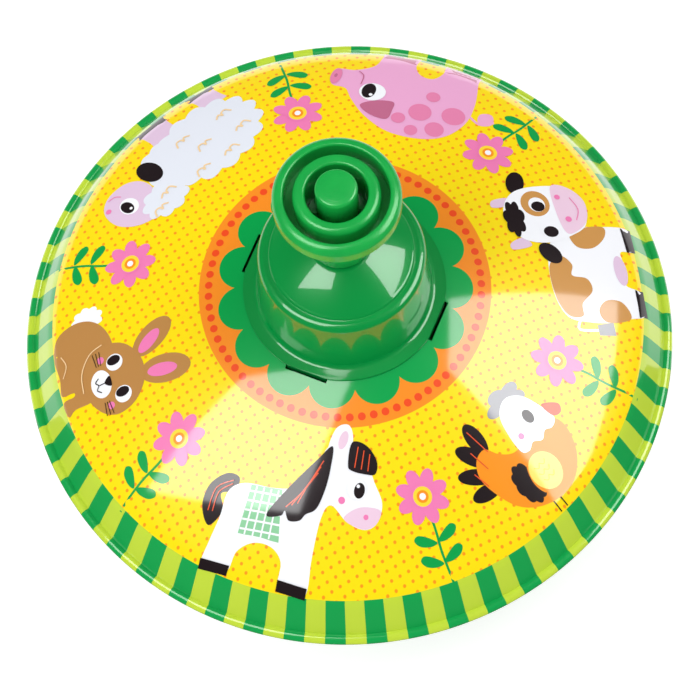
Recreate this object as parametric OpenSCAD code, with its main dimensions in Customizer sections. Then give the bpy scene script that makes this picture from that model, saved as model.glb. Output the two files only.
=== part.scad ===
// Pump spinning top: a hollow body of two tinplate shells rolled together at the
// rim, a green pressed cap tabbed into the upper shell, a twisted drive rod under
// a moulded knob, and a ratchet clutch that turns the body on the down stroke.
// Millimetres. +Z is the spin axis, and the origin is the point of the foot.

/* [Body] */
// Outer radius of the rolled rim
rim_r = 100; // [93:1:110]
// Height of the rim above the point of the foot
rim_z = 55; // [51:1:60]
// Thickness of the tinplate
sheet_t = 0.4; // [0.3:0.05:0.5]
// Radius of the upper shell's main dome
dome_r = 165; // [150:1:200]
// Radius of the round shoulder between the dome and the wall
shoulder_r = 15.5; // [12:0.5:18]
// Number of sound slots in the lower shell
sound_slots = 6; // [3:1:8]

/* [Cap] */
// Outer radius of the cap's flange
cap_flange_r = 30.4; // [29:0.1:32]
// Radius of the cap's wall at its foot
cap_wall_r = 26; // [25:0.1:27]
// Height of the cap's shoulder above the rim
cap_top_h = 62.2; // [58:0.1:66]
// Number of tabs that hold the cap
cap_tabs = 4; // [3:1:6]

/* [Knob] */
// Outer radius of the knob
knob_r = 18.5; // [18:0.1:20]
// Height of the knob from the foot of its neck to its outer ring
knob_h = 32.75; // [31:0.05:36]
// Radius of the knob's neck
neck_r = 8.8; // [8:0.1:9.2]
// Number of ribs between the knob's boss and its inner ring
knob_ribs = 6; // [3:1:8]

/* [Drive] */
// Width of the twisted strip
rod_w = 5; // [4:0.1:5.2]
// Thickness of the twisted strip
rod_t = 1.6; // [1.2:0.1:1.8]
// Rise of the strip's twist in one turn
rod_lead = 64; // [50:1:90]
// Travel of the knob and the rod
travel = 76; // [60:1:76]
// Number of ratchet teeth in the clutch
teeth = 12; // [10:1:16]

/* [Hidden] */
$fn = 96;

// Rolled rim
bead_r = 1.7;
bead_x = rim_r - bead_r;
wall_r = rim_r - 5.5;
wall_lean = 12;
fillet_r = 2.2;

// Upper shell: the dome's arc is centred on the axis, the shoulder's arc touches
// it from inside, and a leaning wall and a fillet run on into the flange.
shoulder_x = wall_r - shoulder_r;
blend_a = asin(shoulder_x / (dome_r - shoulder_r));
shoulder_h = 1.4;
dome_z = shoulder_h - (dome_r - shoulder_r) * cos(blend_a);
flange_top = shoulder_h - 1;
wall_z = shoulder_h + shoulder_r * sin(wall_lean);
wall_foot_z = flange_top + fillet_r - fillet_r * sin(wall_lean);
fillet_x = shoulder_x + shoulder_r * cos(wall_lean) + (wall_z - wall_foot_z) * tan(wall_lean)
    + fillet_r * cos(wall_lean);
crown_hole_r = 10;

// Cap
cap_slope_r = cap_wall_r - 1.2;
tab_span = 24;
tab_turn = -26.8;
tab_depth = 3.2;
tab_fold = 2.4;
tab_w = 2 * cap_flange_r * sin(tab_span / 2);
tab_x = cap_flange_r * cos(tab_span / 2) - sheet_t;
slot_gap = 1;
cap_hole_r = 6.2;
cap_arc_r = 45;
cap_arc_x = -7.1;
cap_step_r = cap_slope_r - 2.9;
cap_crown_r = 9.5;
cap_arc_out = acos((cap_step_r - 1 - cap_arc_x) / cap_arc_r);
cap_arc_in = acos((cap_crown_r - cap_arc_x) / cap_arc_r);
cap_arc_z = cap_top_h + 0.7 - cap_arc_r * sin(cap_arc_out);
cap_crown_z = cap_arc_z + cap_arc_r * sin(cap_arc_in) + 0.1;
cap_seat = dome_z + sqrt(dome_r * dome_r - cap_flange_r * cap_flange_r) + 0.45;

// Clutch, from the shell's crown upwards
crown_h = dome_z + sqrt(dome_r * dome_r - crown_hole_r * crown_hole_r);
seat_z = rim_z + crown_h + 0.1;
nut_r = 9;
nut_t = 3;
tooth_h = 1.2;
seat_floor = seat_z + 4;
nut_gap = 0.35;
nut_z = seat_floor + tooth_h + nut_gap + tooth_h;
cup_r = 12;
cup_top = nut_z + nut_t + 0.8;
cover_t = 1.5;
bore_r = 3;
play = 0.3;
running = 0.08;
tube_r = 4.7;
tube_bore_r = 4;
tube_z = 7.6;
tube_top = seat_z - 2.5;

// Foot
land_r = 17;
land_z = 13.4;
foot_collar_r = 15;
nose_r = 6;
nose_z = 5.2;
spigot_r = 7.2;
pin_r = 2.4;
pin_stem_r = 1.8;
pin_top = 7;
retainer_r = 13;

// Knob and rod, with the knob resting on the guide bush
bush_top = rim_z + cap_crown_z + 0.75;
neck_z = bush_top + play;
knob_top = neck_z + knob_h;
neck_h = 6;
flare_r = 20;
flare_end = 138;
ring_r = 12.6;
ring_in_r = 9;
groove_r = knob_r - 3.3;
boss_r = 6.1;
boss_top = knob_top + 4.4;
head_z = knob_top - 5.6;
web_z = knob_top - 7;
deep_z = knob_top - 15;
rod_top = knob_top - 5.4;
stop_r = 3.6;
stop_t = 2.2;
stop_top = tube_top - travel;
rod_bottom = stop_top - stop_t - 0.5;
shank_z = neck_z - 0.2;
pin_z = neck_z + 6;

// Points on an arc in the profile plane, from angle a0 to a1 above the radius
function arc(x, z, r, a0, a1, n = 8) =
    [for (i = [0:n]) let (a = a0 + (a1 - a0) * i / n) [x + r * cos(a), z + r * sin(a)]];

// Points in reverse order
function back(p) = [for (i = [len(p) - 1:-1:0]) p[i]];

// Revolves a closed outline about the spin axis
module turned(outline) {
    rotate_extrude($fn = 144) polygon(outline);
}

// A ring with a square section
module ring(ro, ri, z, h) {
    translate([0, 0, z]) difference() {
        cylinder(r = ro, h = h);
        translate([0, 0, -1]) cylinder(r = ri, h = h + 2);
    }
}

// Outer line of the upper shell, set in by s, from the crown hole to the flange
function upper_line(s) = concat(
    arc(0, dome_z, dome_r - s, acos(crown_hole_r / (dome_r - s)), 90 - blend_a, 24),
    arc(shoulder_x, shoulder_h, shoulder_r - s, 90 - blend_a, wall_lean, 12),
    arc(fillet_x, flange_top + fillet_r, fillet_r + s, 180 + wall_lean, 270, 5),
    [[bead_x, flange_top - s]]);

// Upper shell: dome, shoulder, wall and flange, hemmed round the lower flange
module upper_shell() {
    color("gold") translate([0, 0, rim_z]) difference() {
        union() {
            turned(concat(upper_line(0), back(upper_line(sheet_t))));
            rolled_hem();
        }
        for (i = [0:cap_tabs - 1]) rotate(tab_turn + i * 360 / cap_tabs)
            tab_box(play, slot_gap, crown_h - 10, 14);
    }
}

// The hem: a tube of sheet that closes round the lower shell's flange
module rolled_hem() {
    turned(concat(
        arc(bead_x, flange_top - bead_r, bead_r, 90, -150, 20),
        back(arc(bead_x, flange_top - bead_r, bead_r - sheet_t, 90, -150, 20))));
}

// Upright block of one tab of the cap, or its slot when grown inwards and outwards
module tab_box(inward, outward, z, h) {
    translate([tab_x - inward, -tab_w / 2 - inward, z])
        cube([sheet_t + inward + outward, tab_w + 2 * inward, h]);
}

// Bowl of the lower shell: a round side that runs tangentially into the floor
bowl_r = 16.6;
bowl_x = wall_r - 1.4 - bowl_r;
bowl_z = -3;
floor_x = land_r + 6;
floor_z = land_z - rim_z + 3.8;
bowl_a = atan2(bowl_z - floor_z, bowl_x - floor_x)
    - asin(bowl_r / norm([bowl_x - floor_x, bowl_z - floor_z]));

// Inner line of the lower shell, set out by s, from the rim down to the land
function lower_line(s) = concat(
    [[bead_x - 0.1, -0.05 - s]],
    arc(wall_r - 0.2, -1.25, 1.2 - s, 90, 178, 4),
    arc(bowl_x, bowl_z, bowl_r + s, -2, bowl_a - 90, 10),
    [[floor_x + s * sin(bowl_a), floor_z - s * cos(bowl_a)]],
    [[land_r, land_z - rim_z + sheet_t - s], [spigot_r + running, land_z - rim_z + sheet_t - s]]);

// Lower shell: bowl with a flat land for the foot and slanted sound slots
module lower_shell() {
    slot_r = 0.62 * rim_r;
    slot_w = 3.2;
    slot_l = 16;
    color("forestgreen") translate([0, 0, rim_z]) difference() {
        turned(concat(lower_line(0), back(lower_line(sheet_t))));
        for (i = [0:sound_slots - 1]) rotate(i * 360 / sound_slots)
            translate([slot_r, 0, -45]) rotate(20) {
                translate([-slot_w / 2, -slot_l / 2 + slot_w / 2, 0]) cube([slot_w, slot_l - slot_w, 45]);
                for (e = [-1, 1]) translate([0, e * (slot_l - slot_w) / 2, 0])
                    cylinder(d = slot_w, h = 45, $fn = 32);
            }
    }
}

// Outer line of the cap, set in by s, from the flange up to the hole
function cap_line(s) = let (zf = cap_seat + sheet_t) concat(
    [[cap_flange_r, zf - s], [cap_wall_r + 2.6, zf + 0.15 - s]],
    arc(cap_wall_r + 1.6, zf + 1.8, 1.6 + s, 262, 183, 5),
    arc(cap_slope_r - 2.2, cap_top_h - 2.2, 2.2 - s, 3, 90, 7),
    [[cap_step_r, cap_top_h - s], [cap_step_r - 0.4, cap_top_h + 0.2 - s]],
    [[cap_step_r - 0.7, cap_top_h + 0.6 - s]],
    arc(cap_arc_x, cap_arc_z, cap_arc_r - s, cap_arc_out, cap_arc_in, 8),
    [[cap_crown_r - 0.4, cap_crown_z - s], [cap_hole_r, cap_crown_z - s]]);

// Cap: pressed dome with a flange, and tabs bent down through the shell
module cap() {
    color("green") translate([0, 0, rim_z]) {
        difference() {
            turned(concat(cap_line(0), back(cap_line(sheet_t))));
            for (i = [0:cap_tabs - 1]) rotate(tab_turn + i * 360 / cap_tabs)
                translate([tab_x + sheet_t - 0.1, -tab_w / 2 - play, cap_seat - 1])
                    cube([3, tab_w + 2 * play, 4]);
        }
        for (i = [0:cap_tabs - 1]) rotate(tab_turn + i * 360 / cap_tabs) {
            tab_box(0, 0, cap_seat + 0.3 - tab_depth, tab_depth);
            translate([tab_x - tab_fold, -tab_w / 2, cap_seat + 0.3 - tab_depth])
                cube([tab_fold + sheet_t, tab_w, sheet_t]);
        }
    }
}

// Guide bush: moulded collar in the cap's hole, on which the knob comes to rest
module guide_bush() {
    under = rim_z + cap_crown_z - sheet_t;
    color("darkgreen") difference() {
        union() {
            translate([0, 0, under - 6]) cylinder(r = 5, h = 4.5);
            translate([0, 0, under - 2]) cylinder(r = 8.2, h = 1.9);
            translate([0, 0, under - 0.2]) cylinder(r = cap_hole_r - 0.2, h = bush_top - under + 0.2);
            translate([0, 0, bush_top - 0.7]) cylinder(r = 8, h = 0.7);
        }
        translate([0, 0, under - 8]) cylinder(r = bore_r, h = 20);
    }
}

// Saw teeth from radius ri to ro, each rising to tooth_h along one flank
module saw_teeth(ri, ro) {
    base = ri * tan(360 / teeth) * 0.85;
    for (i = [0:teeth - 1]) rotate(i * 360 / teeth) translate([ri, 0, 0]) rotate([90, 0, 90])
        linear_extrude(height = ro - ri) polygon([[0, -0.2], [base, -0.2], [base, 0.1], [0, tooth_h]]);
}

// Clutch seat: moulded cup on the shell's crown, with teeth in its floor
module clutch_seat() {
    color("ivory") {
        difference() {
            union() {
                translate([0, 0, seat_z]) cylinder(r = cup_r, h = cup_top - seat_z);
                translate([0, 0, seat_z]) cylinder(r = 16, h = 1.6);
                translate([0, 0, tube_top]) cylinder(r = crown_hole_r - 0.3, h = seat_z - tube_top + 0.1);
            }
            translate([0, 0, seat_floor]) cylinder(r = nut_r + 0.5, h = 40);
            translate([0, 0, tube_top - 1]) cylinder(r = bore_r, h = 40);
        }
        translate([0, 0, seat_floor]) saw_teeth(bore_r + 1.2, nut_r - 0.6);
    }
}

// Clutch nut: the twisted rod runs through its slot and turns it
module clutch_nut() {
    gap = 0.18;
    drop = nut_z - tooth_h;
    color("white") difference() {
        union() {
            translate([0, 0, nut_z]) cylinder(r = nut_r, h = nut_t);
            translate([0, 0, nut_z]) rotate([180, 0, 0]) saw_teeth(bore_r + 1.2, nut_r - 0.6);
        }
        translate([0, 0, drop]) rotate(twist_at(drop))
            strip(rod_w + 2 * gap, rod_t + 2 * gap, nut_t + 2 * tooth_h, 6);
    }
}

// Clutch cover: ring pressed on the cup, which keeps the nut in
module clutch_cover() {
    color("silver") {
        ring(cup_r + 0.8, bore_r + 1.4, cup_top + 0.02, cover_t);
        ring(cup_r + 0.8, cup_r + 0.02, cup_top - 3, 3.1);
    }
}

// Spindle tube: steel tube from the clutch seat down into the foot
module spindle_tube() {
    color("silver") ring(tube_r, tube_bore_r, tube_z, tube_top - 0.02 - tube_z);
}

// Foot: moulded collar, cone and nose under the lower shell, which turns on it
module foot() {
    top = land_z - play;
    color("green") difference() {
        turned([[0, nose_z], [nose_r - 1, nose_z], [nose_r, nose_z + 1], [nose_r, nose_z + 4],
                [foot_collar_r - 1.6, top - 2], [foot_collar_r, top - 1.4], [foot_collar_r, top],
                [spigot_r, top], [spigot_r, land_z + 4.6], [0, land_z + 4.6]]);
        translate([0, 0, tube_z - play]) cylinder(r = tube_r + running, h = 40);
        translate([0, 0, -1]) cylinder(r = pin_stem_r + 0.02, h = pin_top + 1.02);
    }
}

// Foot pin: hard steel point on which the top spins, with a stem in the foot
module foot_pin() {
    color("silver") turned(concat(
        [[0, pin_top], [pin_stem_r, pin_top], [pin_stem_r, nose_z - 0.1], [pin_r, nose_z - 0.1]],
        back(arc(0, pin_r, pin_r, -90, 0, 8))));
}

// Foot retainer: spring ring pressed over the foot's spigot inside the shell
module foot_retainer() {
    low = land_z + sheet_t + play;
    color("silver") difference() {
        turned([[spigot_r + 0.02, low], [retainer_r, low], [retainer_r, low + 0.6],
                [retainer_r - 4, low + 1.7], [spigot_r + 0.02, low + 1.7]]);
        for (i = [0:5]) rotate(i * 60) translate([retainer_r - 1.4, 0, low - 1])
            cylinder(r = 0.9, h = 4, $fn = 24);
    }
}

// Angle of the strip at height z; the strip's twist starts at the rod's lower end
function twist_at(z) = 360 * (z - rod_bottom) / rod_lead;

// A piece of twisted strip with its twist right-handed, n slices high
module strip(w, t, h, n) {
    linear_extrude(height = h, twist = -360 * h / rod_lead, slices = n, convexity = 4, $fn = 4)
        square([w, t], center = true);
}

// The straight shank of the rod inside the knob, from height z, grown by gap
module shank(z, gap) {
    translate([0, 0, z]) rotate(twist_at(shank_z)) translate([-rod_w / 2 - gap, -rod_t / 2 - gap, 0])
        cube([rod_w + 2 * gap, rod_t + 2 * gap, rod_top + gap - z]);
}

// The cross pin, or its hole when grown by gap
module cross_pin(gap) {
    length = 2 * neck_r - 3;
    translate([0, 0, pin_z]) rotate([90, 0, twist_at(shank_z)])
        cylinder(r = 0.8 + gap, h = length + 2 * gap, center = true, $fn = 32);
}

// Drive rod: twisted steel strip from the knob's boss to the stop
module drive_rod() {
    color("silver") difference() {
        union() {
            translate([0, 0, rod_bottom]) strip(rod_w, rod_t, shank_z - rod_bottom, 96);
            shank(shank_z - 0.05, -0.03);
        }
        cross_pin(0.02);
    }
}

// Rod stop: collar crimped on the rod's lower end, which meets the clutch seat
module rod_stop() {
    color("silver") difference() {
        translate([0, 0, stop_top - stop_t]) cylinder(r = stop_r, h = stop_t);
        translate([0, 0, rod_bottom]) strip(rod_w + 0.16, rod_t + 0.16, stop_t + 2, 4);
    }
}

// Knob pin: steel cross pin that keeps the rod in the knob's neck
module knob_pin() {
    color("silver") cross_pin(0);
}

// Outline of the knob from the foot of its neck out to the head and in to the boss
function knob_line() = concat(
    [[0, neck_z], [neck_r - 0.4, neck_z], [neck_r, neck_z + 0.4], [neck_r, neck_z + neck_h]],
    back(arc(neck_r + flare_r, neck_z + neck_h, flare_r, flare_end, 180, 8)),
    [[knob_r - 4.1, head_z - 4.2], [knob_r - 1.9, head_z - 1.6]],
    arc(knob_r - 1.2, head_z, 1.2, -54, 0, 5),
    arc(knob_r - 2.6, knob_top - 2.6, 2.6, 0, 90, 8),
    arc(groove_r + 0.7, knob_top - 0.7, 0.7, 90, 180, 4),
    [[groove_r, web_z], [ring_r, web_z]],
    arc(ring_r - 1.8, knob_top - 1.1, 1.8, 0, 90, 6),
    arc(ring_in_r + 0.8, knob_top - 0.1, 0.8, 90, 180, 4),
    [[ring_in_r, deep_z], [boss_r, deep_z]],
    arc(boss_r - 1.1, knob_top + 3.1, 1.1, 0, 78, 5),
    [[0, boss_top]]);

// Knob: outer ring, inner ring and boss, open to the top, over a flared neck
module knob() {
    color("limegreen") difference() {
        union() {
            turned(knob_line());
            for (i = [0:knob_ribs - 1]) rotate(i * 360 / knob_ribs)
                translate([boss_r - 0.5, -0.6, deep_z - 0.5]) cube([ring_in_r - boss_r + 1, 1.2, 5]);
        }
        shank(neck_z - 1, 0.04);
        cross_pin(0.02);
    }
}

upper_shell();
lower_shell();
cap();
guide_bush();
clutch_seat();
clutch_nut();
clutch_cover();
spindle_tube();
foot();
foot_pin();
foot_retainer();
drive_rod();
rod_stop();
knob_pin();
knob();
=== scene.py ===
import bpy
import math
from mathutils import Matrix, Vector
from mathutils.geometry import delaunay_2d_cdt


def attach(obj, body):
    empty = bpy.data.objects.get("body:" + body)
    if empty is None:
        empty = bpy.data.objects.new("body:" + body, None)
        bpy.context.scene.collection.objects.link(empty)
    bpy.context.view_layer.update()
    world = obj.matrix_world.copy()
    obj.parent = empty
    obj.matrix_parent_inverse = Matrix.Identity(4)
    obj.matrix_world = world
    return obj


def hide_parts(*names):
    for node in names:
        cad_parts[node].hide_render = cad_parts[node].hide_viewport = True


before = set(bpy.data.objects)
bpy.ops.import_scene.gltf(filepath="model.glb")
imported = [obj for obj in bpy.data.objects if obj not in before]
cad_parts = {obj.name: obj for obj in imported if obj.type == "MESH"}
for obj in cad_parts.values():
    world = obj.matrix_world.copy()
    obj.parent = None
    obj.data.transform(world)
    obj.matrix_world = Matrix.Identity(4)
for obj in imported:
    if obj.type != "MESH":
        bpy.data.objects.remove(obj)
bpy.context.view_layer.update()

# ------------------------------------------------------------------ camera
# A long lens on a tripod, above and in front of the top, a little off level.
MM = 0.001
RIM_Z = 55
rim_height = RIM_Z * MM
eye = Vector((0, -403.1, 977.5)) * MM
ROLL, TILT = math.radians(4.95), math.radians(0.28)
look = -eye.normalized()
side = look.cross(Vector((0, 0, 1))).normalized()
turn = Matrix.Rotation(ROLL, 3, "Z") @ Matrix.Rotation(TILT, 3, "X")
view = turn @ Matrix((side, side.cross(look), -look))
camera = bpy.data.objects.new("camera", bpy.data.cameras.new("camera"))
camera.data.lens = 175.7
camera.data.sensor_width = 36
camera.matrix_world = Matrix.Translation(eye + Vector((0, 0, rim_height))) @ view.transposed().to_4x4()
bpy.context.scene.collection.objects.link(camera)
bpy.context.scene.camera = camera
bpy.context.scene.view_settings.view_transform = "Standard"

# ------------------------------------------------------------------ studio
# A white table under a pale room. Two softboxes, left and right, show as bright
# patches on the varnish, and two level fills light the colours without a gloss.
# The far half of the table gives the shoulder its pale edge.


def colour(code):
    """A colour picked as sRGB hex, in the linear values that shaders take."""
    parts = [int(code[i:i + 2], 16) / 255 for i in (1, 3, 5)]
    return [c / 12.92 if c <= 0.04045 else ((c + 0.055) / 1.055) ** 2.4 for c in parts] + [1]


def softbox(name, place, away, spin, size, power):
    """A soft panel at place that turns its back to away, spun by spin degrees."""
    light = bpy.data.lights.new(name, "AREA")
    light.shape = "RECTANGLE"
    light.size, light.size_y = size
    light.energy = power
    lamp = bpy.data.objects.new(name, light)
    lamp.location = place
    stand = Vector(away).to_track_quat("Z", "Y").to_matrix()
    lamp.rotation_euler = (stand @ Matrix.Rotation(math.radians(spin), 3, "Z")).to_euler()
    bpy.context.scene.collection.objects.link(lamp)
    return lamp


left_box = softbox("softbox_left", (-0.81, -0.19, 2.03), (0.035, -0.906, 0.423), -12.9,
                   (1.4, 1.8), 58)
right_box = softbox("softbox_right", (0.87, 0.17, 1.50), (0.991, -0.05, -0.12), -15.8,
                    (0.77, 2.1), 37)
left_box.visible_diffuse = right_box.visible_diffuse = False
left_fill = softbox("fill_left", (-0.9, -0.5, 1.3), (0, 0, 1), 0, (1.0, 1.0), 12.5)
right_fill = softbox("fill_right", (0.9, 0.3, 1.3), (0, 0, 1), 0, (1.0, 1.0), 8)
left_fill.visible_glossy = right_fill.visible_glossy = False

room = bpy.data.worlds.new("room")
bpy.context.scene.world = room
room.use_nodes = True
room.node_tree.nodes["Background"].inputs["Color"].default_value = colour("#FFFFFF")
room.node_tree.nodes["Background"].inputs["Strength"].default_value = 0.68
room.cycles_visibility.glossy = False

# matt paper: no gloss, and a faint glow that stands for light from the room
white_paper = bpy.data.materials.new("white_paper")
white_paper.use_nodes = True
paper = white_paper.node_tree.nodes["Principled BSDF"]
paper.inputs["Base Color"].default_value = colour("#D2CED0")
paper.inputs["Roughness"].default_value = 0.9
paper.inputs["Specular IOR Level"].default_value = 0.0
paper.inputs["Emission Color"].default_value = colour("#FFFFFF")
paper.inputs["Emission Strength"].default_value = 0.6
REACH = 4
for half, low, high in (("table_near", -REACH, 0), ("table_far", 0, REACH)):
    sheet = bpy.data.meshes.new(half)
    corners = [(-REACH, low, 0), (REACH, low, 0), (REACH, high, 0), (-REACH, high, 0)]
    sheet.from_pydata(corners, [], [(0, 1, 2, 3)])
    sheet.materials.append(white_paper)
    table = bpy.data.objects.new(half, sheet)
    table.visible_glossy = low == 0
    bpy.context.scene.collection.objects.link(table)

# ------------------------------------------------------------- upper shell
# Tinplate, lithographed while flat, varnished and pressed into a dome whose edge
# is rolled round the lower shell's flange. The print is a yellow dot screen with
# an orange ring, a scalloped green disc and a striped border over the rim.
RIM = 100.0
SHEET = 0.4
DOME = 165.0
WALL = RIM - 5.5
SHOULDER = 15.5
SHOULDER_X = WALL - SHOULDER
BLEND = math.asin(SHOULDER_X / (DOME - SHOULDER))
SHOULDER_Z = 1.4
DOME_Z = SHOULDER_Z - (DOME - SHOULDER) * math.cos(BLEND)
BEAD = 1.7
BEAD_X = RIM - BEAD
BEAD_Z = -1.3
CROWN_HOLE = 10
BLEND_R = SHOULDER_X + SHOULDER * math.sin(BLEND)
LEAN = math.radians(28.5)
WALL_FOOT_Z = 0.17
WALL_FOOT_X = SHOULDER_X + SHOULDER / math.cos(LEAN) + (SHOULDER_Z - WALL_FOOT_Z) * math.tan(LEAN)


def dome(r, in_by=0.0):
    """Height of the shell above the rim at radius r, set in by in_by, in mm."""
    if r < BLEND_R:
        return DOME_Z + math.sqrt((DOME - in_by) ** 2 - r * r)
    return SHOULDER_Z + math.sqrt(max((SHOULDER - in_by) ** 2 - (r - SHOULDER_X) ** 2, 0))


def lie(x, y, lift=0.0):
    """The point on the shell above plan position x, y, and the way it faces."""
    r = max(math.hypot(x, y), 0.001)
    if r < BLEND_R:
        way = Vector((x, y, dome(r) - DOME_Z)).normalized()
    else:
        out = r - SHOULDER_X
        way = Vector((x / r * out, y / r * out, dome(r) - SHOULDER_Z)).normalized()
    place = Vector((x, y, dome(r))) + way * lift
    return place * MM + Vector((0, 0, rim_height)), way


def arc(cx, cz, radius, first, last, count):
    """Points along an arc in the profile plane; angles in degrees."""
    steps = [math.radians(first + (last - first) * i / count) for i in range(count + 1)]
    return [(cx + radius * math.cos(a), cz + radius * math.sin(a)) for a in steps]


def revolve(name, outline, steps=360, closed=True, base=rim_height):
    """A mesh made by turning an outline of (radius, height) in mm about the axis."""
    verts, faces = [], []
    for i in range(steps):
        a = 2 * math.pi * i / steps
        verts += [(r * math.cos(a) * MM, r * math.sin(a) * MM, z * MM + base) for r, z in outline]
    n = len(outline)
    for i in range(steps):
        here, there = i * n, (i + 1) % steps * n
        for k in range(n if closed else n - 1):
            m = (k + 1) % n
            faces.append((here + k, there + k, there + m, here + m))
    mesh = bpy.data.meshes.new(name)
    mesh.from_pydata(verts, [], faces)
    made = bpy.data.objects.new(name, mesh)
    bpy.context.scene.collection.objects.link(made)
    return made


def smooth(piece, angle=35):
    """Shades a piece smooth and keeps edges sharper than angle crisp."""
    mesh = piece.data
    mesh.shade_smooth()
    mesh.set_sharp_from_angle(angle=math.radians(angle))


def shell_line(s):
    """The shell's outline set in by s, from the crown hole to the foot of the wall."""
    start = math.degrees(math.acos(CROWN_HOLE / (DOME - s)))
    blend = 90 - math.degrees(BLEND)
    return (arc(0, DOME_Z, DOME - s, start, blend, 90)
            + arc(SHOULDER_X, SHOULDER_Z, SHOULDER - s, blend, math.degrees(LEAN), 28)[1:]
            + [(WALL_FOOT_X - s * math.cos(LEAN), WALL_FOOT_Z - s * math.sin(LEAN))])


outer = shell_line(0) + arc(BEAD_X, BEAD_Z, BEAD, 118, -150, 30)
inner = shell_line(SHEET) + arc(BEAD_X, BEAD_Z, BEAD - SHEET, 118, -150, 24)
shell = revolve("printed_upper_shell", outer + inner[::-1], steps=480)


def cut(piece, outlines, low, high):
    """Cuts upright holes with the given plan outlines (mm) out of a piece."""
    made = []
    for outline in outlines:
        n = len(outline)
        mesh = bpy.data.meshes.new("cutter")
        sides = [(i, (i + 1) % n, (i + 1) % n + n, i + n) for i in range(n)]
        mesh.from_pydata([(x * MM, y * MM, z * MM + rim_height) for z in (low, high) for x, y in outline],
                         [], [list(range(n))[::-1], list(range(n, 2 * n))] + sides)
        cutter = bpy.data.objects.new("cutter", mesh)
        bpy.context.scene.collection.objects.link(cutter)
        tool = piece.modifiers.new("cut", "BOOLEAN")
        tool.operation, tool.solver, tool.object = "DIFFERENCE", "EXACT", cutter
        made.append(cutter)
    whole = bpy.data.meshes.new_from_object(piece.evaluated_get(bpy.context.evaluated_depsgraph_get()))
    piece.modifiers.clear()
    piece.data = whole
    for cutter in made:
        bpy.data.objects.remove(cutter)


def turned_box(x0, x1, y0, y1, angle):
    """The plan outline of a box, turned about the axis by an angle in degrees."""
    c, s = math.cos(math.radians(angle)), math.sin(math.radians(angle))
    return [(x * c - y * s, x * s + y * c) for x, y in ((x0, y0), (x1, y0), (x1, y1), (x0, y1))]


# four slots for the cap's tabs, cut right through the sheet
FLANGE = 30.4
TABS = [-26.8 + 90 * i for i in range(4)]
TAB_HALF = FLANGE * math.sin(math.radians(12))
TAB_X = FLANGE * math.cos(math.radians(12)) - SHEET
PLAY = 0.3
slots_at = [turned_box(TAB_X - PLAY, TAB_X + SHEET + 1, -TAB_HALF - PLAY, TAB_HALF + PLAY, a) for a in TABS]
cut(shell, slots_at, dome(30) - 6, dome(30) + 4)
smooth(shell)


def node(tree, kind, links=(), **settings):
    """Adds one shader node, sets its fields and inputs, and joins what feeds it."""
    made = tree.nodes.new(kind)
    for key, value in settings.items():
        if hasattr(made, key) and key not in made.inputs:
            setattr(made, key, value)
        else:
            made.inputs[key.replace("_", " ")].default_value = value
    for socket, source in dict(links).items():
        tree.links.new(source, made.inputs[socket])
    return made


# lithographed tinplate: inks under a hard clear varnish, which gives the gloss
printed = bpy.data.materials.new("lithographed_tinplate")
printed.use_nodes = True
tree = printed.node_tree


def maths(operation, a, b=None, c=None):
    """One maths node; each input is a number or another node's output."""
    made = tree.nodes.new("ShaderNodeMath")
    made.operation = operation
    for i, value in enumerate((a, b, c)):
        if value is None:
            continue
        if isinstance(value, (int, float)):
            made.inputs[i].default_value = value
        else:
            tree.links.new(value, made.inputs[i])
    return made.outputs[0]


def over(mask, below, above):
    """Lays the colour above over the colour below where the mask is 1."""
    mix = node(tree, "ShaderNodeMix", data_type="RGBA")
    tree.links.new(mask, mix.inputs[0])
    for socket, value in ((6, below), (7, above)):
        if isinstance(value, list):
            mix.inputs[socket].default_value = value
        else:
            tree.links.new(value, mix.inputs[socket])
    return mix.outputs[2]


def inside(distance, limit, soft=0.06):
    """1 where distance (mm) is under limit, with a thin soft edge like ink."""
    depth = maths("DIVIDE", maths("SUBTRACT", limit, distance), soft)
    return maths("SMOOTH_MIN", maths("MAXIMUM", depth, 0), 1, 0.01)


def span(a, b):
    """The length of a plan vector with parts a and b."""
    return maths("SQRT", maths("ADD", maths("MULTIPLY", a, a), maths("MULTIPLY", b, b)))


place = node(tree, "ShaderNodeTexCoord").outputs["Object"]
axes = node(tree, "ShaderNodeSeparateXYZ", {"Vector": place})
x_mm = maths("MULTIPLY", axes.outputs["X"], 1000.0)
y_mm = maths("MULTIPLY", axes.outputs["Y"], 1000.0)
radius = span(x_mm, y_mm)
bearing = maths("MULTIPLY", maths("ARCTAN2", y_mm, x_mm), 180 / math.pi)


def from_cell(value, pitch, shift=0.0):
    """How far a value is from the middle of its cell, for cells of one pitch."""
    return maths("SUBTRACT", maths("WRAP", maths("ADD", value, shift), pitch, 0.0), pitch / 2)


# dot screen: a square lattice of orange dots, turned from the axes
DOT_PITCH, DOT_R, DOT_TURN = 2.84, 0.56, math.radians(22.8)
turn_x, turn_y = math.cos(DOT_TURN), math.sin(DOT_TURN)
along = maths("ADD", maths("MULTIPLY", x_mm, turn_x), maths("MULTIPLY", y_mm, turn_y))
across = maths("SUBTRACT", maths("MULTIPLY", y_mm, turn_x), maths("MULTIPLY", x_mm, turn_y))
du, dv = from_cell(along, DOT_PITCH, 0.6), from_cell(across, DOT_PITCH, 1.1)
ink = over(inside(span(du, dv), DOT_R, 0.15), colour("#FBDD0C"), colour("#F6961C"))

# orange ring with a circle of red dots, one every five degrees
RING_R, RED_R = 44.0, 41.0
ink = over(inside(radius, RING_R), ink, colour("#F88E22"))
swing = maths("MULTIPLY", maths("MULTIPLY", from_cell(bearing, 5.0), math.pi / 180), RED_R)
ink = over(inside(span(swing, maths("SUBTRACT", radius, RED_R)), 1.2), ink, colour("#F04B20"))

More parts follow.
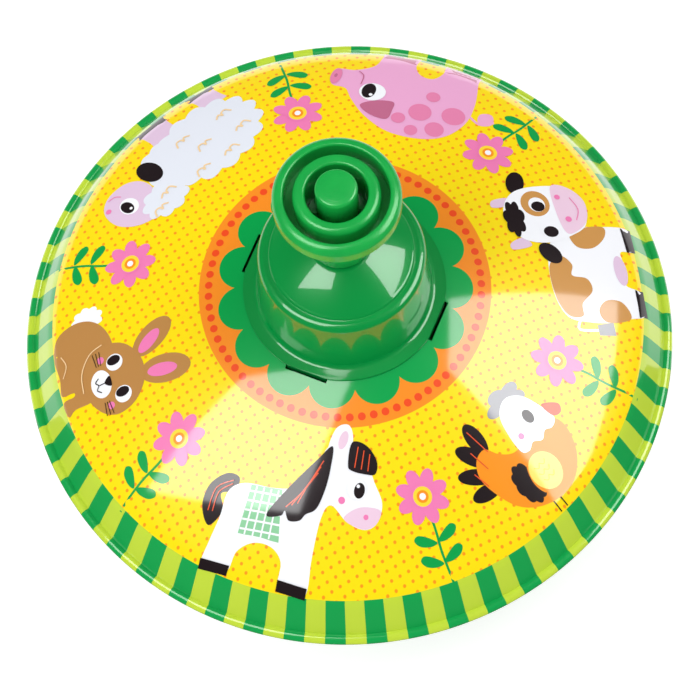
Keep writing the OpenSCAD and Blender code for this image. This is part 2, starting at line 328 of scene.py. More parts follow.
# scalloped green disc: fifteen round lobes on a plain disc
LOBE_AT, LOBE_R = 31.6, 6.95
lobe = maths("MULTIPLY", from_cell(bearing, 24.0, 113.2), math.pi / 180)
lobe_x = maths("SUBTRACT", maths("MULTIPLY", radius, maths("COSINE", lobe)), LOBE_AT)
lobe_y = maths("MULTIPLY", radius, maths("SINE", lobe))
green = maths("MAXIMUM", inside(span(lobe_x, lobe_y), LOBE_R), inside(radius, LOBE_AT + 0.2))
ink = over(green, ink, colour("#00A04A"))

# striped border over the shoulder, wall and rolled rim
BORDER_R, STRIPES = 90.6, 7.2
stripe = maths("LESS_THAN", maths("WRAP", maths("SUBTRACT", bearing, 2.15), STRIPES, 0.0), STRIPES / 2)
striped = over(stripe, colour("#BFD83C"), colour("#12A04C"))
ink = over(maths("SUBTRACT", 1.0, inside(radius, BORDER_R)), ink, striped)

grain = node(tree, "ShaderNodeTexNoise", {"Vector": place}, Scale=900.0, Detail=3.0)
dimple = node(tree, "ShaderNodeBump", {"Height": grain.outputs["Fac"]}, Strength=0.02, Distance=0.0002)
skin = tree.nodes["Principled BSDF"]
tree.links.new(ink, skin.inputs["Base Color"])
tree.links.new(dimple.outputs["Normal"], skin.inputs["Normal"])
skin.inputs["Roughness"].default_value = 0.32
skin.inputs["Specular IOR Level"].default_value = 0.1
skin.inputs["Coat Weight"].default_value = 1.0
skin.inputs["Coat Roughness"].default_value = 0.07
shell.data.materials.append(printed)
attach(shell, "top")
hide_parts("upper_shell")

# ----------------------------------------------------------- printed motifs
# Six farm animals and six flowers, printed on the same sheet with their feet
# towards the border. Each is a stack of flat ink shapes that lie on the dome.
inks = {}


def ink_of(name, code):
    """A varnished printing ink: pigment with a faint mottle under clear gloss."""
    made = bpy.data.materials.new("ink_" + name)
    made.use_nodes = True
    t = made.node_tree
    where = node(t, "ShaderNodeTexCoord").outputs["Object"]
    mottle = node(t, "ShaderNodeTexNoise", {"Vector": where}, Scale=1500.0, Detail=2.0)
    ramp = node(t, "ShaderNodeMapRange", {"Value": mottle.outputs["Fac"]}, To_Min=0.28, To_Max=0.36)
    body = t.nodes["Principled BSDF"]
    t.links.new(ramp.outputs["Result"], body.inputs["Roughness"])
    body.inputs["Base Color"].default_value = colour(code)
    body.inputs["Specular IOR Level"].default_value = 0.1
    body.inputs["Coat Weight"].default_value = 1.0
    body.inputs["Coat Roughness"].default_value = 0.07
    inks[name] = made


for name, code in (
        ("white", "#F4F5FA"), ("black", "#231A1D"), ("grey", "#9A9AA0"), ("pink", "#EE7DB4"),
        ("pale_pink", "#EBCADF"), ("pig_pink", "#EBA9D2"), ("spot_pink", "#E583AD"),
        ("ear_pink", "#C06A8C"), ("brown", "#B98549"), ("tan", "#CB9350"), ("wool", "#E3E7F1"),
        ("curl", "#F3D2A0"), ("leg_pink", "#E0C4DE"), ("orange", "#F7931E"), ("red", "#E8552E"),
        ("yellow", "#FFE36B"), ("leaf", "#0A9F4A"), ("mint", "#8CCB9B"), ("sun", "#FFD83A")):
    ink_of(name, code)


def curve(points, each=6):
    """A closed smooth line through the given points (Catmull-Rom)."""
    out, n = [], len(points)
    for i in range(n):
        p0, p1, p2, p3 = (Vector(points[(i + k) % n]) for k in (-1, 0, 1, 2))
        for k in range(each):
            t = k / each
            out.append(0.5 * (2 * p1 + (p2 - p0) * t + (2 * p0 - 5 * p1 + 4 * p2 - p3) * t * t
                              + (3 * p1 - p0 - 3 * p2 + p3) * t ** 3))
    return [(p.x, p.y) for p in out]


def oval(x, y, rx, ry=None, lean=0, steps=28):
    """An ellipse about x, y, leaned by an angle in degrees."""
    ry = rx if ry is None else ry
    c, s = math.cos(math.radians(lean)), math.sin(math.radians(lean))
    turns = [2 * math.pi * i / steps for i in range(steps)]
    plain = [(rx * math.cos(a), ry * math.sin(a)) for a in turns]
    return [(x + a * c - b * s, y + a * s + b * c) for a, b in plain]


def cloud(x, y, rx, ry, bumps, depth=0.12, steps=10):
    """A round-lobed outline, like fleece or a comb."""
    out = []
    for i in range(bumps * steps):
        a = 2 * math.pi * i / (bumps * steps)
        k = 1 + depth * abs(math.sin(a * bumps / 2))
        out.append((x + rx * k * math.cos(a), y + ry * k * math.sin(a)))
    return out


def line(points, width, each=4):
    """A drawn line of even width with blunt ends, through the given points."""
    full = []
    pts = [Vector(p) for p in points]
    for i in range(len(pts) - 1):
        p0, p1, p2, p3 = pts[max(i - 1, 0)], pts[i], pts[i + 1], pts[min(i + 2, len(pts) - 1)]
        for k in range(each):
            t = k / each
            full.append(0.5 * (2 * p1 + (p2 - p0) * t + (2 * p0 - 5 * p1 + 4 * p2 - p3) * t * t
                               + (3 * p1 - p0 - 3 * p2 + p3) * t ** 3))
    full.append(pts[-1])
    left, right = [], []
    for i, p in enumerate(full):
        d = (full[min(i + 1, len(full) - 1)] - full[max(i - 1, 0)]).normalized()
        left.append((p.x - d.y * width / 2, p.y + d.x * width / 2))
        right.append((p.x + d.y * width / 2, p.y - d.x * width / 2))
    return left + right[::-1]


def holds(outline, x, y):
    """Whether a point is inside an outline."""
    found, n = False, len(outline)
    for i in range(n):
        (x1, y1), (x2, y2) = outline[i], outline[i - 1]
        if (y1 > y) != (y2 > y) and x < (x2 - x1) * (y - y1) / (y2 - y1) + x1:
            found = not found
    return found


INK_LIFT, LAYER_STEP = 0.03, 0.012


def motif(name, bearing_deg, r0, shapes, grid=1.5):
    """Prints a stack of (ink, outline) shapes; the local +Y points to the crown."""
    a = math.radians(bearing_deg)
    up = Vector((-math.cos(a), -math.sin(a)))
    right = Vector((up.y, -up.x))
    verts, faces, normals, slots, used = [], [], [], [], []
    for layer, (ink_name, outline) in enumerate(shapes):
        if ink_name not in used:
            used.append(ink_name)
        n = len(outline)
        pts = [Vector(p) for p in outline]
        lows = [min(p[i] for p in outline) for i in (0, 1)]
        highs = [max(p[i] for p in outline) for i in (0, 1)]
        for i in range(int((highs[0] - lows[0]) / grid)):
            for k in range(int((highs[1] - lows[1]) / grid)):
                q = (lows[0] + (i + 0.5) * grid, lows[1] + (k + 0.5) * grid)
                if holds(outline, *q):
                    pts.append(Vector(q))
        found = delaunay_2d_cdt(pts, [], [list(range(n))], 1, 1e-5)
        base = len(verts)
        for p in found[0]:
            flat = up * (p.y - r0) + right * p.x
            spot, way = lie(flat.x, flat.y, INK_LIFT + LAYER_STEP * layer)
            verts.append(spot)
            normals.append(way)
        for f in found[2]:
            ids = [base + i for i in f]
            e1, e2 = verts[ids[1]] - verts[ids[0]], verts[ids[2]] - verts[ids[0]]
            faces.append(ids if e1.cross(e2).z > 0 else ids[::-1])
            slots.append(used.index(ink_name))
    mesh = bpy.data.meshes.new(name)
    mesh.from_pydata(verts, [], faces)
    for ink_name in used:
        mesh.materials.append(inks[ink_name])
    mesh.polygons.foreach_set("material_index", slots)
    mesh.shade_smooth()
    mesh.normals_split_custom_set_from_vertices(normals)
    made = bpy.data.objects.new(name, mesh)
    bpy.context.scene.collection.objects.link(made)
    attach(made, "top")


def flower():
    """Eight petals round a ringed eye, on a stem with two pairs of leaves."""
    out = [("leaf", line([(0, 0), (0.5, -9), (0.2, -16), (0.9, -25.5)], 0.75))]
    for way, y in ((-1, -12.8), (1, -12.4), (-1, -18.4), (1, -18.0)):
        out.append(("leaf", curve([(way * 0.2, y - 0.2), (way * 2.4, y - 0.7), (way * 5.4, y + 0.3),
                                   (way * 6.6, y + 2.2), (way * 5.2, y + 3.2), (way * 2.6, y + 2.0)])))
    for a in [math.pi * k / 4 + 0.2 for k in range(8)]:
        out.append(("pink", oval(4.9 * math.cos(a), 4.9 * math.sin(a), 3.1, 1.95, math.degrees(a))))
    out += [("pink", oval(0, 0, 3.4)), ("sun", oval(0, 0, 2.8)), ("orange", oval(0, 0, 1.75)),
            ("white", oval(0, 0, 0.95))]
    return out


for i, (bearing_of, r_of) in enumerate(((98.7, 64.7), (43.5, 65.4), (-22.2, 66.5), (-74.7, 66.8),
                                        (-143.2, 66.2), (163.9, 67.0))):
    motif("print_flower_%d" % (i + 1), bearing_of, r_of, flower())

# A white horse with a dark mane and tail, a checked blanket and dark hooves
horse = [
    ("black", curve([(-17, 7.2), (-21, 7.8), (-25.5, 4), (-26.5, -2), (-23.5, -7), (-20, -2.5), (-21.5, 2),
                     (-17.5, 3.4)])),
    ("white", curve([(-19.5, 3), (-15, 6), (-6, 6.2), (0, 8), (5, 16), (7.5, 21), (13, 22.6), (19, 19),
                     (22.5, 14), (26, 9), (25.8, 3.5), (22.5, 0.8), (17, 1.6), (11.5, 5), (9.3, 1),
                     (9, -10), (9.3, -19.5), (4.5, -20), (0.6, -19.3), (0.2, -13), (-3.5, -9.6), (-9, -9.4),
                     (-13.5, -12.5), (-15.2, -17.8), (-20, -17.6), (-23.6, -17), (-22.3, -11),
                     (-20.5, -4)])),
    ("white", curve([(7.4, 19), (8, 26), (11.4, 28), (13.6, 24.5), (13.2, 19)])),
    ("pale_pink", oval(10.9, 23.4, 1.3, 2.7, -6)),
    ("pale_pink", curve([(16, 3), (20, 6.4), (25.9, 7), (25.6, 3.2), (22.5, 0.9), (17.5, 1.4)])),
    ("pink", oval(22.2, 4.2, 0.75)), ("pink", oval(14.2, 7, 1.0)),
    ("mint", [(-13, 5.9), (-3.6, 6.2), (-1.6, -8), (-14.2, -7.6)])]
horse += [("white", line([(-13.1 - k * 0.2, 4.2 - 2.6 * k),
                          (-3.0 + k * 0.35, 4.4 - 2.6 * k)], 0.55)) for k in range(5)]
horse += [("white", line([(-11.2 + 2.2 * k, 5.8), (-12.2 + 2.5 * k, -7.6)], 0.5)) for k in range(4)]
horse += [("black", curve([(8.2, 21), (4.4, 16), (-2, 7), (-6.8, -1.2), (-2.6, -0.8), (-1.6, 0.8),
                           (0, -1.6), (3.2, -1), (4.6, 1), (7.4, 3.2), (8.8, 9), (9, 15)])),
          ("black", curve([(13.6, 23.4), (18, 23.4), (21.8, 20), (22.2, 16.4), (19.5, 15.6), (15.4, 15.6),
                           (13.8, 17)])), ("white", oval(17.8, 11, 2.9)),
          ("black", oval(18.7, 10.8, 1.6, 2.2)), ("white", oval(18.1, 11.9, 0.5)),
          ("black", [(-23.9, -15.7), (-14.8, -16.5), (-15.3, -19.1), (-24.2, -18.3)]),
          ("black", [(0.2, -17.5), (9.3, -18.1), (9.2, -20.9), (0.2, -20.4)])]
horse += [("red", line([(6.6 - k * 0.4, 16.5 - 1.8 * k), (3.6 - k * 0.8, 9 - 1.4 * k),
                        (1.6 - 1.6 * k, 3.4 - 0.8 * k)], 0.32)) for k in range(3)]
horse += [("red", line([(15.6 + 1.9 * k, 22.6 - 0.6 * k), (15.9 + 2.0 * k, 16.6)], 0.3)) for k in range(3)]
horse += [("red", line([(-18.5, 6.2 - k), (-23.2 + k, 3.4 - k),
                        (-24.4 + 1.4 * k, -3)], 0.3)) for k in range(2)]
motif("print_horse", -108.4, 69.6, horse)

# A sitting brown rabbit with upright ears and a white tail
rabbit = [
    ("white", cloud(-17.3, -7.2, 3.5, 4.2, 9, 0.22)),
    ("brown", curve([(-18, -12), (-16.5, -6.5), (-12, -2.8), (-5, -1.6), (4, -5), (8.3, -11), (8.4, -17),
                     (9.4, -19.6), (4.6, -20.2), (4.4, -16.8), (3.2, -16.4), (2.2, -20.2), (-3, -19.6),
                     (-10, -19.9), (-16, -17.6)])),
    ("brown", oval(-3.2, 10.6, 3.9, 7.4, 30)), ("brown", oval(8.0, 12.2, 4.4, 7.8, -10)),
    ("pink", oval(-2.2, 9.4, 1.9, 4.4, 34)), ("pink", oval(8.0, 11.2, 2.0, 4.6, -10)),
    ("brown", curve([(-6.8, -4), (-4.6, 2), (1.5, 5.8), (8, 5.6), (13.6, 1.6), (15.6, -4.4), (13, -9.4),
                     (7, -12.6), (0, -12.4), (-5, -9.4)])),
    ("white", oval(4.6, -7.6, 4.4, 3.2)), ("pink", oval(-2.6, -6.2, 1.1)), ("pink", oval(12.2, -6.2, 1.1)),
    ("white", oval(-0.2, -2.2, 2.6)), ("white", oval(10.4, -1.8, 2.6)),
    ("black", oval(-0.9, -2.3, 1.5, 2.1)), ("black", oval(9.6, -1.9, 1.5, 2.1)),
    ("black", curve([(3.2, -4.6), (6.4, -4.6), (4.8, -6.6)])),
    ("black", line([(4.8, -6.4), (4.8, -8.2)], 0.3)),
    ("black", line([(2.6, -8), (3.6, -9.2), (4.8, -8.4), (6, -9.2), (7.2, -8)], 0.32))]
rabbit += [("black", line([(-5.4, -6 - 1.1 * k), (-1, -6.4 - 0.7 * k)], 0.22)) for k in range(3)]
rabbit += [("black", line([(10.6, -6.4 - 0.7 * k), (14.8, -5.9 - 1.1 * k)], 0.22)) for k in range(3)]
rabbit += [("curl", line([(-7.2, -4.6), (-5.8, -9), (-1, -12.6), (5, -13.4)], 0.32)),
           ("curl", line([(-9.6, -17.6), (-6, -16.6), (-2.6, -18.4)], 0.3))]
motif("print_rabbit", -170.1, 70.0, rabbit)

# A woolly sheep with a pink face and a dark ear
sheep = [
    ("leg_pink", [(-26.4, -7), (-16.6, -7), (-17.2, -15.2), (-26.8, -14)]),
    ("leg_pink", [(-8, -9), (2, -9), (2.2, -17.8), (-8.6, -16.6)]),
    ("black", [(-26.8, -13.4), (-17.2, -14.8), (-17.4, -17.2), (-27.4, -15.4)]),
    ("black", [(-8.6, -16), (2.2, -17.2), (2.3, -19.8), (-9, -18.6)]),
    ("wool", cloud(-10, 2, 17.8, 12.8, 15, 0.13)),
    ("wool", cloud(3, -2, 9, 8, 9, 0.13)),
    ("leg_pink", curve([(13.5, 2), (18, 10), (25, 8), (29.2, 2), (28.6, -5), (24, -8.6), (17.5, -8),
                        (13.6, -4)])),
    ("wool", cloud(13.6, 7.6, 7, 5.4, 9, 0.2)),
    ("black", oval(9.6, -4.2, 3.4, 5.0, 4)),
    ("white", oval(22.2, -0.2, 2.9, 3.4)), ("black", oval(22.9, -0.3, 1.8, 2.6)),
    ("white", oval(22.4, 0.9, 0.5)),
    ("pink", oval(27.2, -4.6, 0.9)), ("pink", line([(21.2, -5.2), (22.4, -7), (24.6, -7.6)], 0.3))]
for x, y, flip in ((-11, 11, 1), (-1, 9.6, -1), (-20, 6.6, 1), (-8, 2.6, -1), (-19.6, -2, 1), (-5, -4.4, -1),
                   (12, 6.4, 1), (17, 9.4, -1)):
    sheep.append(("curl", line([(x - 3.1 * flip, y + 1.3), (x - 2 * flip, y - 0.7),
                                (x - 0.3 * flip, y - 0.5), (x, y + 0.7), (x + 0.9 * flip, y - 0.6),
                                (x + 2.6 * flip, y + 0.5)], 0.55)))
motif("print_sheep", 131.0, 71.6, sheep)

# A pink pig with darker spots, a folded ear and a curled tail
pig = [
    ("pig_pink", line([(-20, 3.2), (-24, 5.6), (-27.4, 4), (-26.6, 0.6), (-23.6, 1.6), (-24.2, 5),
                       (-28.2, 3.2)], 0.85)),
    ("pig_pink", curve([(-20.8, -2), (-20, 7), (-15.5, 14.4), (-8, 18), (2, 18), (10.5, 13.6), (16.4, 7.6),
                        (19.4, 3.4), (24, 2.6), (25.4, -1.5), (23.6, -5), (18.6, -5.6), (13.4, -9),
                        (12, -14), (11.6, -18.6), (1.4, -19), (0.9, -12.6), (-1.6, -9), (-5.6, -8.8),
                        (-8, -12.6), (-8.6, -18.8), (-18.6, -18), (-19.4, -12)])),
    ("ear_pink", [(-18.9, -12.4), (-8.4, -13.4), (-8.6, -16.2), (-18.9, -15.2)]),
    ("ear_pink", [(1.1, -13.6), (11.9, -14), (11.7, -16.6), (1.3, -16.6)]),
    ("spot_pink", oval(-11.6, 12.8, 3.0)), ("spot_pink", oval(-4.8, 15.4, 2.1)),
    ("spot_pink", oval(-15.8, 5.4, 3.7)),
    ("spot_pink", oval(-5.6, 7.2, 3.6)), ("spot_pink", oval(-7.8, -0.6, 2.2)),
    ("spot_pink", oval(0.2, 11.6, 2.2)),
    ("ear_pink", curve([(3.6, 13.2), (8.8, 12.8), (13, 9.6), (9, 6.6), (3.4, 5.6), (2.8, 9)])),
    ("white", oval(10.8, 3, 4.2, 3.9)), ("black", oval(12, 2.8, 2.2, 3.3)), ("white", oval(11, 4.4, 0.6)),
    ("spot_pink", oval(23.8, -1.4, 1.7, 3.7)), ("ear_pink", oval(23.9, -1.5, 0.5, 0.9)),
    ("ear_pink", line([(15.2, 0.6), (15.4, -3.4), (17.4, -5.2)], 0.32))]
motif("print_pig", 70.3, 74.3, pig)

# A white cow with tan patches, dark ears and hooves and a pink muzzle
cow = [
    ("white", line([(-20.5, 2.5), (-23.6, 3.4), (-24, -2.6)], 0.8)),
    ("grey", [(-25.6, -2.4), (-22.4, -2.4), (-21.6, -7.6), (-25.8, -7.6)]),
    ("white", curve([(-21.4, 0), (-19.6, 6), (-13, 8.6), (-3, 8.4), (5, 6), (9.6, -2), (10.4, -10),
                     (10.2, -19.6), (6, -19.8), (2.2, -19.2), (1.6, -15.4), (-4, -15.8), (-9.4, -14.6),
                     (-11.4, -18.6), (-15, -18.8), (-19.4, -18), (-20.6, -12), (-21.8, -6)])),
    ("tan", curve([(-19.4, 1.4), (-19, 5.8), (-13, 8.4), (-3, 8.2), (0.4, 4), (-2.6, 1), (-6.2, 1.8),
                   (-7.4, -2.6), (-11.4, -3.4), (-15.4, 0.6)])),
    ("tan", curve([(-21.6, -6), (-18, -4), (-14.6, -7), (-15.2, -12), (-20.4, -13.6)])),
    ("tan", curve([(3.4, -2), (8, -0.6), (10.1, -6), (10.3, -12), (6.6, -11.4), (3, -7)])),
    ("leg_pink", oval(-4.6, -14, 5.0, 2.0)),
    ("black", [(-19.8, -16.5), (-10.9, -17.1), (-11.1, -19.6), (-19.4, -19.2)]),
    ("black", [(1.8, -17.6), (10.3, -17.4), (10.2, -20.6), (2, -20.4)]),
    ("leg_pink", curve([(4.2, 12), (3.2, 17.8), (5.4, 18.2), (7, 14)])),
    ("leg_pink", curve([(18.4, 17), (18.2, 21.2), (20.6, 20.8), (21.2, 16)])),
    ("black", oval(1.4, 6.8, 4.0, 2.8, 40)), ("black", oval(26.6, 12.2, 4.2, 2.8, -18)),
    ("white", curve([(5, 6), (6.4, 13.6), (12, 17.6), (18.4, 17.6), (23.6, 13), (25.2, 4), (24, -4),
                     (18, -7.8), (11, -6.6), (7.4, -1.6)])),
    ("tan", oval(18.8, 7.6, 4.6, 4.5)),
    ("pale_pink", curve([(8.4, 0.2), (16, 1.8), (25, 1.4), (24.4, -4), (19.6, -8), (12.8, -7.4),
                         (8.8, -3.4)])),
    ("black", cloud(13.8, 15.2, 5.0, 2.6, 7, 0.3)),
    ("white", oval(9.6, 5, 3.2)), ("black", oval(8.7, 4.9, 1.9, 2.3)),
    ("white", oval(18.4, 7.2, 2.6)), ("black", oval(17.7, 7, 1.8, 2.1)),
    ("pink", oval(13, -1.6, 1.0)), ("pink", oval(21, 0.2, 0.9)),
    ("pink", line([(12.6, -4), (16.6, -5.4), (20.8, -3.6)], 0.3))]
motif("print_cow", 7.3, 70.6, cow)

# An orange hen with a white head, dark tail feathers and a dark comb
hen = [
    ("black", oval(-7.2, 10.4, 2.6, 5.2, -6)), ("black", oval(-11.4, 7.6, 2.5, 5.4, 26)),
    ("black", oval(-14.6, 3, 2.3, 5.6, 50)), ("black", oval(-15.6, -2, 2.2, 4.6, 74)),
    ("black", line([(-2, -15), (-2.1, -20)], 0.4)), ("black", line([(0.4, -15.4), (0.5, -20)], 0.4)),
    ("grey", cloud(7.6, 12, 5.2, 3.2, 5, 0.4)),
    ("orange", curve([(-14.4, 0), (-12, 5.6), (-7.4, 6.8), (-5, 3), (-1, 0.2), (6, 0.6), (14.4, 0),
                      (16.4, -5), (13, -12.4), (5.6, -17), (-4, -16), (-11.4, -10.4)])),
    ("white", curve([(0.6, -1), (1.2, 5), (3.4, 10.4), (8, 12.6), (12.4, 10), (14.8, 4), (15.6, -0.6),
                     (13, -2.2), (10.6, -1.4), (8, -2.8), (5.4, -1.4), (2.8, -2.4)])),
    ("red", curve([(15.2, 4.4), (19.4, 1.6), (18.4, -0.8), (15.6, 0)])),
    ("black", cloud(-4.2, -8.4, 3.6, 5.6, 9, 0.14)),
    ("orange", curve([(0, -3.6), (6.4, -4), (8.4, -9), (4.6, -14.6), (-1.6, -14), (-3, -9)])),
    ("yellow", oval(2.4, -9.2, 5.0, 5.4)),
    ("white", oval(8.4, 4.8, 2.8)), ("black", oval(9.6, 4.6, 1.6, 2.1)), ("pink", oval(3.8, 2, 0.9))]
hen += [("red", line([(-7.0 - 3.4 * k, 5.6 - 3.4 * k),
                      (-7.6 - 3.5 * k, 13.6 - 4.8 * k)], 0.3)) for k in range(3)]
hen += [("sun", line([(2.2 * k, -6.6 - 2 * j), (1.1 + 2.2 * k, -7.6 - 2 * j),
                      (2.2 + 2.2 * k, -6.6 - 2 * j)], 0.3)) for k in range(2) for j in range(3)]
motif("print_hen", -47.9, 70.1, hen)

# --------------------------------------------------------------------- cap
# One pressing of tinplate in clear green lacquer: flange, round wall, stamped
# step and a shallow top. Four tabs bent through the shell hold it.
# lacquer baked on bright tinplate: deep, even colour under a sharp gloss
cap_lacquer = bpy.data.materials.new("green_lacquered_tinplate")
cap_lacquer.use_nodes = True
t = cap_lacquer.node_tree
where = node(t, "ShaderNodeTexCoord").outputs["Object"]
fine = node(t, "ShaderNodeTexNoise", {"Vector": where}, Scale=420.0, Detail=4.0)
ripple = node(t, "ShaderNodeBump", {"Height": fine.outputs["Fac"]}, Strength=0.03, Distance=0.0003)
body = t.nodes["Principled BSDF"]
t.links.new(ripple.outputs["Normal"], body.inputs["Normal"])
body.inputs["Base Color"].default_value = colour("#00913F")
body.inputs["Roughness"].default_value = 0.3
body.inputs["Specular IOR Level"].default_value = 0.2
body.inputs["Coat Weight"].default_value = 1.0
body.inputs["Coat Roughness"].default_value = 0.05

seat = dome(FLANGE) + 0.45
CAP_WALL, CAP_TOP, CAP_STEP, CAP_HOLE = 26, 62.2, 21.9, 6.2
TOP_ARC, TOP_ARC_X, TOP_ARC_Z, TOP_ARC_IN = 45, -7.1, 27.67, 68.35
CROWN = TOP_ARC_Z + TOP_ARC * math.sin(math.radians(TOP_ARC_IN)) + 0.1


def cap_line(s):
    """The cap's outline set in by s, from the flange's edge up to the hole."""
    foot_z = seat + SHEET
    return ([(FLANGE, foot_z - s), (FLANGE - 1, foot_z + 0.04 - s), (FLANGE - 1.8, foot_z + 0.15 - s)]
            + arc(CAP_WALL + 1.6, foot_z + 1.8, 1.6 + s, 262, 183, 14)
            + arc(CAP_WALL - 3.4, CAP_TOP - 2.2, 2.2 - s, 3, 90, 16)
            + [(CAP_STEP - d, CAP_TOP + h - s) for d, h in ((0, 0), (0.3, 0.07), (0.5, 0.3), (0.7, 0.55))]
            + arc(TOP_ARC_X, TOP_ARC_Z, TOP_ARC - s, 51.52, TOP_ARC_IN, 30)
            + [(9.1, CROWN - s), (CAP_HOLE, CROWN - s)])


cap = revolve("pressed_cap", cap_line(0) + cap_line(SHEET)[::-1], steps=288)
notches = [turned_box(TAB_X + SHEET - 0.1, TAB_X + 4, -TAB_HALF - PLAY, TAB_HALF + PLAY, a) for a in TABS]
cut(cap, notches, seat - 1, seat + 3)
smooth(cap)
cap.data.materials.clear()
cap.data.materials.append(cap_lacquer)
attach(cap, "top")


def boxes(name, blocks):
    """A mesh of upright boxes, each a plan outline, a low and a high level, in mm."""
    verts, faces = [], []
    for outline, low, high in blocks:
        first = len(verts)
        verts += [(x * MM, y * MM, z * MM + rim_height) for z in (low, high) for x, y in outline]
        for corners in ((3, 2, 1, 0), (4, 5, 6, 7), (0, 1, 5, 4), (1, 2, 6, 5), (2, 3, 7, 6), (3, 0, 4, 7)):
            faces.append([first + i for i in corners])
    mesh = bpy.data.meshes.new(name)
    mesh.from_pydata(verts, [], faces)
    made = bpy.data.objects.new(name, mesh)
    bpy.context.scene.collection.objects.link(made)
    return made


TAB_DOWN, TAB_FOLD = seat - 2.9, 2.4
blocks = []
for a in TABS:
    leg = turned_box(TAB_X, TAB_X + SHEET, -TAB_HALF, TAB_HALF, a)
    fold = turned_box(TAB_X - TAB_FOLD, TAB_X + SHEET, -TAB_HALF, TAB_HALF, a)
    blocks += [(leg, TAB_DOWN, seat + 0.3), (fold, TAB_DOWN, TAB_DOWN + SHEET)]
tabs = boxes("cap_tabs", blocks)
tabs.data.materials.append(cap_lacquer)
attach(tabs, "top")
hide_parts("cap")
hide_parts("cap")

# -------------------------------------------------------------------- knob
# A green plastic moulding held in the hand: two rings and a boss with deep
# grooves between, on a flared neck, pinned to the drive rod.
# moulded plastic: satin, with faint flow lines round the axis
knob_green = bpy.data.materials.new("green_moulded_plastic")
knob_green.use_nodes = True
t = knob_green.node_tree
where = node(t, "ShaderNodeTexCoord").outputs["Object"]
split = node(t, "ShaderNodeSeparateXYZ", {"Vector": where})
flat = node(t, "ShaderNodeCombineXYZ", {"X": split.outputs["X"], "Y": split.outputs["Y"]})
out_by = node(t, "ShaderNodeVectorMath", {0: flat.outputs["Vector"]}, operation="LENGTH")
ringed = node(t, "ShaderNodeCombineXYZ", {"X": out_by.outputs["Value"], "Z": split.outputs["Z"]})
flow = node(t, "ShaderNodeTexNoise", {"Vector": ringed.outputs["Vector"]}, Scale=2600.0, Detail=3.0)
cloudy = node(t, "ShaderNodeTexNoise", {"Vector": where}, Scale=130.0, Detail=3.0)
hue = node(t, "ShaderNodeValToRGB", {"Fac": cloudy.outputs["Fac"]})
hue.color_ramp.elements[0].color = colour("#08983F")
hue.color_ramp.elements[1].color = colour("#1DB14B")
lines = node(t, "ShaderNodeBump", {"Height": flow.outputs["Fac"]}, Strength=0.22, Distance=0.0002)
body = t.nodes["Principled BSDF"]
t.links.new(hue.outputs["Color"], body.inputs["Base Color"])
t.links.new(lines.outputs["Normal"], body.inputs["Normal"])
body.inputs["Roughness"].default_value = 0.24

TOP = 103.4
KNOB, GROOVE, RING, RING_IN, BOSS, NECK = 18.5, 15.2, 12.6, 9, 6.1, 8.8
GROOVE_DEEP, INNER_DEEP, NECK_HIGH, FLARE = 7, 15, 6.3, 20
BUSH = CROWN + 0.75
knob_line = ([(0, BUSH + 0.3), (NECK - 0.4, BUSH + 0.3), (NECK, BUSH + 0.7), (NECK, BUSH + NECK_HIGH)]
             + arc(NECK + FLARE, BUSH + NECK_HIGH, FLARE, 180, 138, 24)[1:]
             + [(KNOB - 4.1, TOP - 9.8), (KNOB - 1.9, TOP - 7.2)]
             + arc(KNOB - 1.2, TOP - 5.6, 1.2, -54, 0, 8) + arc(KNOB - 2.6, TOP - 2.6, 2.6, 0, 90, 18)
             + arc(GROOVE + 0.7, TOP - 0.7, 0.7, 90, 180, 8)
             + [(GROOVE, TOP - GROOVE_DEEP), (RING, TOP - GROOVE_DEEP)]
             + arc(RING - 1.8, TOP - 1.1, 1.8, 0, 90, 14) + arc(RING_IN + 0.8, TOP - 0.1, 0.8, 90, 180, 8)
             + [(RING_IN, TOP - INNER_DEEP), (BOSS, TOP - INNER_DEEP)]
             + arc(BOSS - 1.1, TOP + 3.1, 1.1, 0, 78, 10) + [(2.5, TOP + 4.34), (0, TOP + 4.4)])
knob = revolve("knob_rings", knob_line[::-1], steps=240, closed=False)
smooth(knob, 50)
knob.data.materials.append(knob_green)
ribs = boxes("knob_ribs", [(turned_box(BOSS - 0.2, RING_IN + 0.2, -0.6, 0.6, a), TOP - 15.2, TOP - 10.5)
                           for a in range(0, 360, 60)])
ribs.data.materials.append(knob_green)
for piece in (knob, ribs):
    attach(piece, "handle")
    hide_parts("knob")

# ------------------------------------------------------------- lower shell
# A second tinplate pressing, a bowl in green lacquer with a flat land for the
# foot and six slanted slots that make the top hum.
LAND_Z, LAND_R, FOOT_HOLE = 13.4 - RIM_Z, 17, 7.28
BOWL, BOWL_X, BOWL_Z = 16.6, WALL - 18.0, -3.0
FLOOR_X, FLOOR_Z = LAND_R + 6, LAND_Z + 3.8
SLOT_AT, SLOT_END, SLOT_SLANT = 62, 6.4, 20
to_floor = math.atan2(BOWL_Z - FLOOR_Z, BOWL_X - FLOOR_X)
slope = to_floor - math.asin(BOWL / math.hypot(BOWL_X - FLOOR_X, BOWL_Z - FLOOR_Z))


def bowl_line(s):
    """The bowl's inner line set out by s, from the rim down to the land."""
    return ([(BEAD_X - 0.1, -0.05 - s)] + arc(WALL - 0.2, -1.25, 1.2 - s, 90, 178, 8)
            + arc(BOWL_X, BOWL_Z, BOWL + s, -2, math.degrees(slope) - 90, 30)
            + [(FLOOR_X + s * math.sin(slope), FLOOR_Z - s * math.cos(slope)),
               (LAND_R, LAND_Z + SHEET - s), (FOOT_HOLE, LAND_Z + SHEET - s)])


bowl = revolve("slotted_lower_shell", bowl_line(0) + bowl_line(SHEET)[::-1], steps=288)


def turned(points, angle, out=0):
    """Plan points turned by an angle in degrees, after a shift outwards."""
    c, s = math.cos(math.radians(angle)), math.sin(math.radians(angle))
    return [((x + out) * c - y * s, (x + out) * s + y * c) for x, y in points]


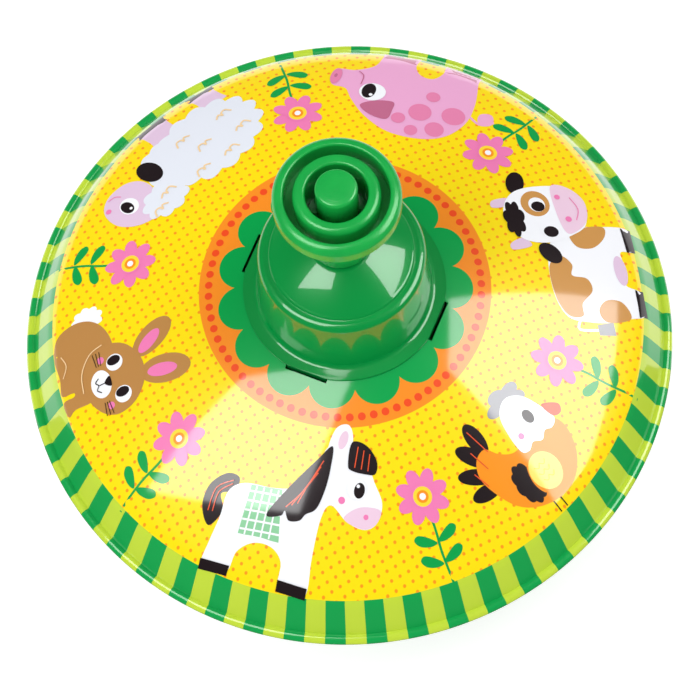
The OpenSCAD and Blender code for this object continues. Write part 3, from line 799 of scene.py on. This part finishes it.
sound_slots = []
slot = arc(0, SLOT_END, 1.6, 0, 180, 8) + arc(0, -SLOT_END, 1.6, 180, 360, 8)
for a in range(0, 360, 60):
    sound_slots.append(turned(turned(slot, SLOT_SLANT), a, SLOT_AT))
cut(bowl, sound_slots, -48, -2)
smooth(bowl)
bowl.data.materials.clear()
bowl.data.materials.append(cap_lacquer)
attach(bowl, "top")
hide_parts("lower_shell")

# -------------------------------------------------------------------- foot
# A green moulding under the bowl that holds the hard steel point. It turns on
# the lower end of the spindle tube, kept by a spring ring inside the shell.
foot_top = LAND_Z + RIM_Z - PLAY
COLLAR, SPIGOT = 14.6, 7.2
foot_line = ([(2.45, 5.2)] + arc(5.4, 5.8, 0.6, -90, 0, 6) + [(6, 9.2), (13.4, foot_top - 2)]
             + arc(COLLAR, foot_top - 1.2, 0.4, -40, 0, 4) + arc(COLLAR, foot_top - 0.4, 0.4, 0, 90, 6)
             + [(SPIGOT, foot_top), (SPIGOT, 18)])
foot = revolve("moulded_foot", foot_line, steps=120, closed=False, base=0)
smooth(foot)
foot.data.materials.append(knob_green)
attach(foot, "foot")
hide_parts("foot")

# ------------------------------------------------------------ inner pieces
# Steel drive parts and natural acetal clutch parts, sealed in the body; only
# the rod shows, when the knob is pulled up.
# drawn steel is bright, zinc plate greyer and softer, acetal waxy and off-white
for label, code, metal, rough, names in (
        ("bright_drawn_steel", "#B9BBBD", 1.0, 0.28, ("drive_rod", "knob_pin", "foot_pin")),
        ("zinc_plated_steel", "#A9ABAB", 1.0, 0.4,
         ("rod_stop", "clutch_cover", "spindle_tube", "foot_retainer")),
        ("natural_acetal", "#E6E1D0", 0.0, 0.45, ("clutch_seat", "clutch_nut")),
        ("dark_green_moulding", "#0B5A2A", 0.0, 0.4, ("guide_bush",))):
    made = bpy.data.materials.new(label)
    made.use_nodes = True
    t = made.node_tree
    where = node(t, "ShaderNodeTexCoord").outputs["Object"]
    fine = node(t, "ShaderNodeTexNoise", {"Vector": where}, Scale=700.0, Detail=4.0)
    wear = node(t, "ShaderNodeMapRange", {"Value": fine.outputs["Fac"]},
                To_Min=rough - 0.06, To_Max=rough + 0.06)
    body = t.nodes["Principled BSDF"]
    t.links.new(wear.outputs["Result"], body.inputs["Roughness"])
    body.inputs["Base Color"].default_value = colour(code)
    body.inputs["Metallic"].default_value = metal
    for name in names:
        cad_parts[name].data.materials.clear()
        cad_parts[name].data.materials.append(made)
